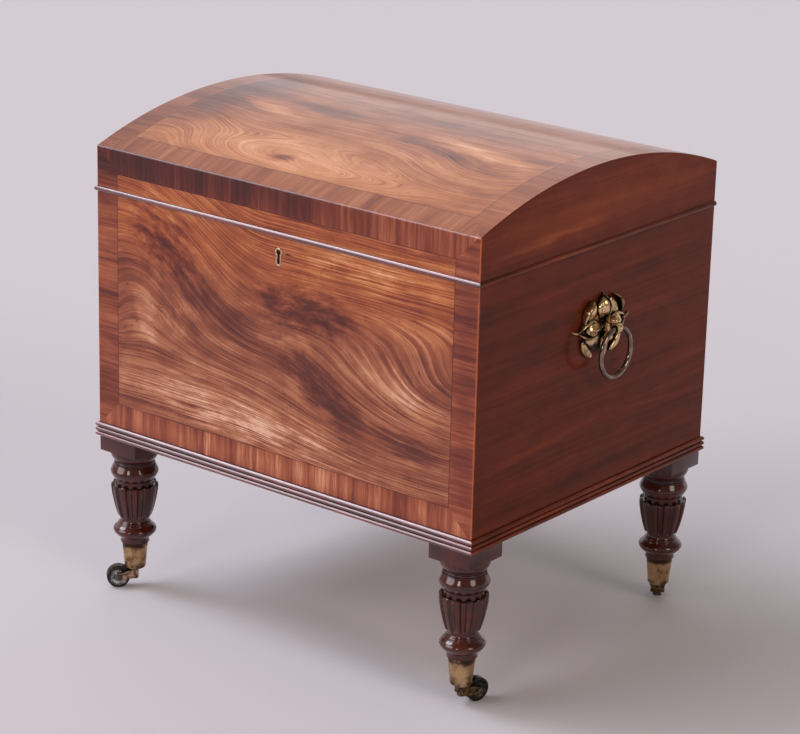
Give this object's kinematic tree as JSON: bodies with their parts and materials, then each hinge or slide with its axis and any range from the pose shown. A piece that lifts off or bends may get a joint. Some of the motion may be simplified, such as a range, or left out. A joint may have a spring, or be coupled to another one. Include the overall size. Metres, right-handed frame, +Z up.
{
  "type": "cellarette",
  "caption": "Domed mahogany chest for bottles: hinged lid with lock, divided inside, ring handle at each end, turned and reeded legs with brass caps on swivelling casters.",
  "frame": {"origin": "on the floor, under the middle of the case", "axes": "+X along the case towards its right end, -Y out of the front with the keyhole, +Z up"},
  "size_m": [0.676, 0.4956, 0.644],
  "materials": {
    "case_veneer": "polished figured mahogany veneer",
    "case_side": "polished straight-grained mahogany",
    "turned_mahogany": "dark polished mahogany",
    "inner_boards": "plain unpolished mahogany",
    "caster_brass": "lacquered brass, worn and browned",
    "handle_brass": "old dark brass with rubbed highlights",
    "lock_steel": "dull grey steel",
    "wheel_metal": "dark turned metal"
  },
  "bodies": {
    "root": {"front_panel": "case_veneer", "right_side_panel": "case_side", "left_side_panel": "case_side", "back_panel": "case_side", "base_moulding_front": "turned_mahogany", "base_moulding_right": "turned_mahogany", "base_moulding_back": "turned_mahogany", "base_moulding_left": "turned_mahogany", "leg_front_left": "turned_mahogany", "leg_front_right": "turned_mahogany", "leg_back_left": "turned_mahogany", "leg_back_right": "turned_mahogany", "bottom_board": "inner_boards", "cross_divider_1": "inner_boards", "cross_divider_2": "inner_boards", "cross_divider_3": "inner_boards", "long_divider_1": "inner_boards", "long_divider_2": "inner_boards", "keyhole_escutcheon": "caster_brass", "hinge_case_leaf_left": "caster_brass", "hinge_case_leaf_right": "caster_brass", "leg_cap_front_left": "caster_brass", "leg_cap_front_right": "caster_brass", "leg_cap_back_left": "caster_brass", "leg_cap_back_right": "caster_brass", "handle_plate_left": "handle_brass", "handle_plate_right": "handle_brass", "lock_case": "lock_steel", "hinge_pin_left": "lock_steel", "hinge_pin_right": "lock_steel"},
    "lid": {"lid_dome": "case_veneer", "lid_front_rail": "case_veneer", "lid_back_rail": "case_side", "lid_left_end": "case_side", "lid_right_end": "case_side", "lid_bead_front": "turned_mahogany", "lid_bead_right": "turned_mahogany", "lid_bead_left": "turned_mahogany", "lock_link_plate": "lock_steel", "hinge_lid_leaf_left": "caster_brass", "hinge_lid_leaf_right": "caster_brass"},
    "lock_bolt": {"lock_bolt": "lock_steel"},
    "handle_ring_left": {"handle_ring_left": "handle_brass"},
    "handle_ring_right": {"handle_ring_right": "handle_brass"},
    "caster_front_left": {"caster_horn_front_left": "caster_brass", "caster_axle_front_left": "lock_steel"},
    "wheel_front_left": {"caster_wheel_front_left": "wheel_metal"},
    "caster_front_right": {"caster_horn_front_right": "caster_brass", "caster_axle_front_right": "lock_steel"},
    "wheel_front_right": {"caster_wheel_front_right": "wheel_metal"},
    "caster_back_left": {"caster_horn_back_left": "caster_brass", "caster_axle_back_left": "lock_steel"},
    "wheel_back_left": {"caster_wheel_back_left": "wheel_metal"},
    "caster_back_right": {"caster_horn_back_right": "caster_brass", "caster_axle_back_right": "lock_steel"},
    "wheel_back_right": {"caster_wheel_back_right": "wheel_metal"}
  },
  "joints": [
    {"name": "lid_hinge", "type": "hinge", "parent": "root", "child": "lid", "pos_m": [0, 0.2447, 0.54115], "axis": [-1, 0, 0], "range_deg": [0, 95]},
    {"name": "lock_bolt_slide", "type": "slide", "parent": "root", "child": "lock_bolt", "axis": [1, 0, 0], "range_m": [0, 0.007]},
    {"name": "handle_ring_right_swing", "type": "hinge", "parent": "root", "child": "handle_ring_right", "pos_m": [0.3308, 0, 0.442], "axis": [0, -1, 0], "range_deg": [-15, 190]},
    {"name": "handle_ring_left_swing", "type": "hinge", "parent": "root", "child": "handle_ring_left", "pos_m": [-0.3308, 0, 0.442], "axis": [0, 1, 0], "range_deg": [-15, 190]},
    {"name": "caster_swivel_front_left", "type": "hinge", "parent": "root", "child": "caster_front_left", "pos_m": [-0.273, -0.212, 0.02], "axis": [0, 0, 1], "continuous": true},
    {"name": "wheel_spin_front_left", "type": "hinge", "parent": "caster_front_left", "child": "wheel_front_left", "pos_m": [-0.28746, -0.22924, 0.0152], "axis": [0.766, -0.6428, 0], "continuous": true},
    {"name": "caster_swivel_front_right", "type": "hinge", "parent": "root", "child": "caster_front_right", "pos_m": [0.273, -0.212, 0.02], "axis": [0, 0, 1], "continuous": true},
    {"name": "wheel_spin_front_right", "type": "hinge", "parent": "caster_front_right", "child": "wheel_front_right", "pos_m": [0.27958, -0.19048, 0.0152], "axis": [-0.9563, 0.2924, 0], "continuous": true},
    {"name": "caster_swivel_back_left", "type": "hinge", "parent": "root", "child": "caster_back_left", "pos_m": [-0.273, 0.212, 0.02], "axis": [0, 0, 1], "continuous": true},
    {"name": "wheel_spin_back_left", "type": "hinge", "parent": "caster_back_left", "child": "wheel_back_left", "pos_m": [-0.29414, 0.2043, 0.0152], "axis": [0.342, -0.9397, 0], "continuous": true},
    {"name": "caster_swivel_back_right", "type": "hinge", "parent": "root", "child": "caster_back_right", "pos_m": [0.273, 0.212, 0.02], "axis": [0, 0, 1], "continuous": true},
    {"name": "wheel_spin_back_right", "type": "hinge", "parent": "caster_back_right", "child": "wheel_back_right", "pos_m": [0.26042, 0.23065, 0.0152], "axis": [-0.829, -0.5592, 0], "continuous": true}
  ]
}
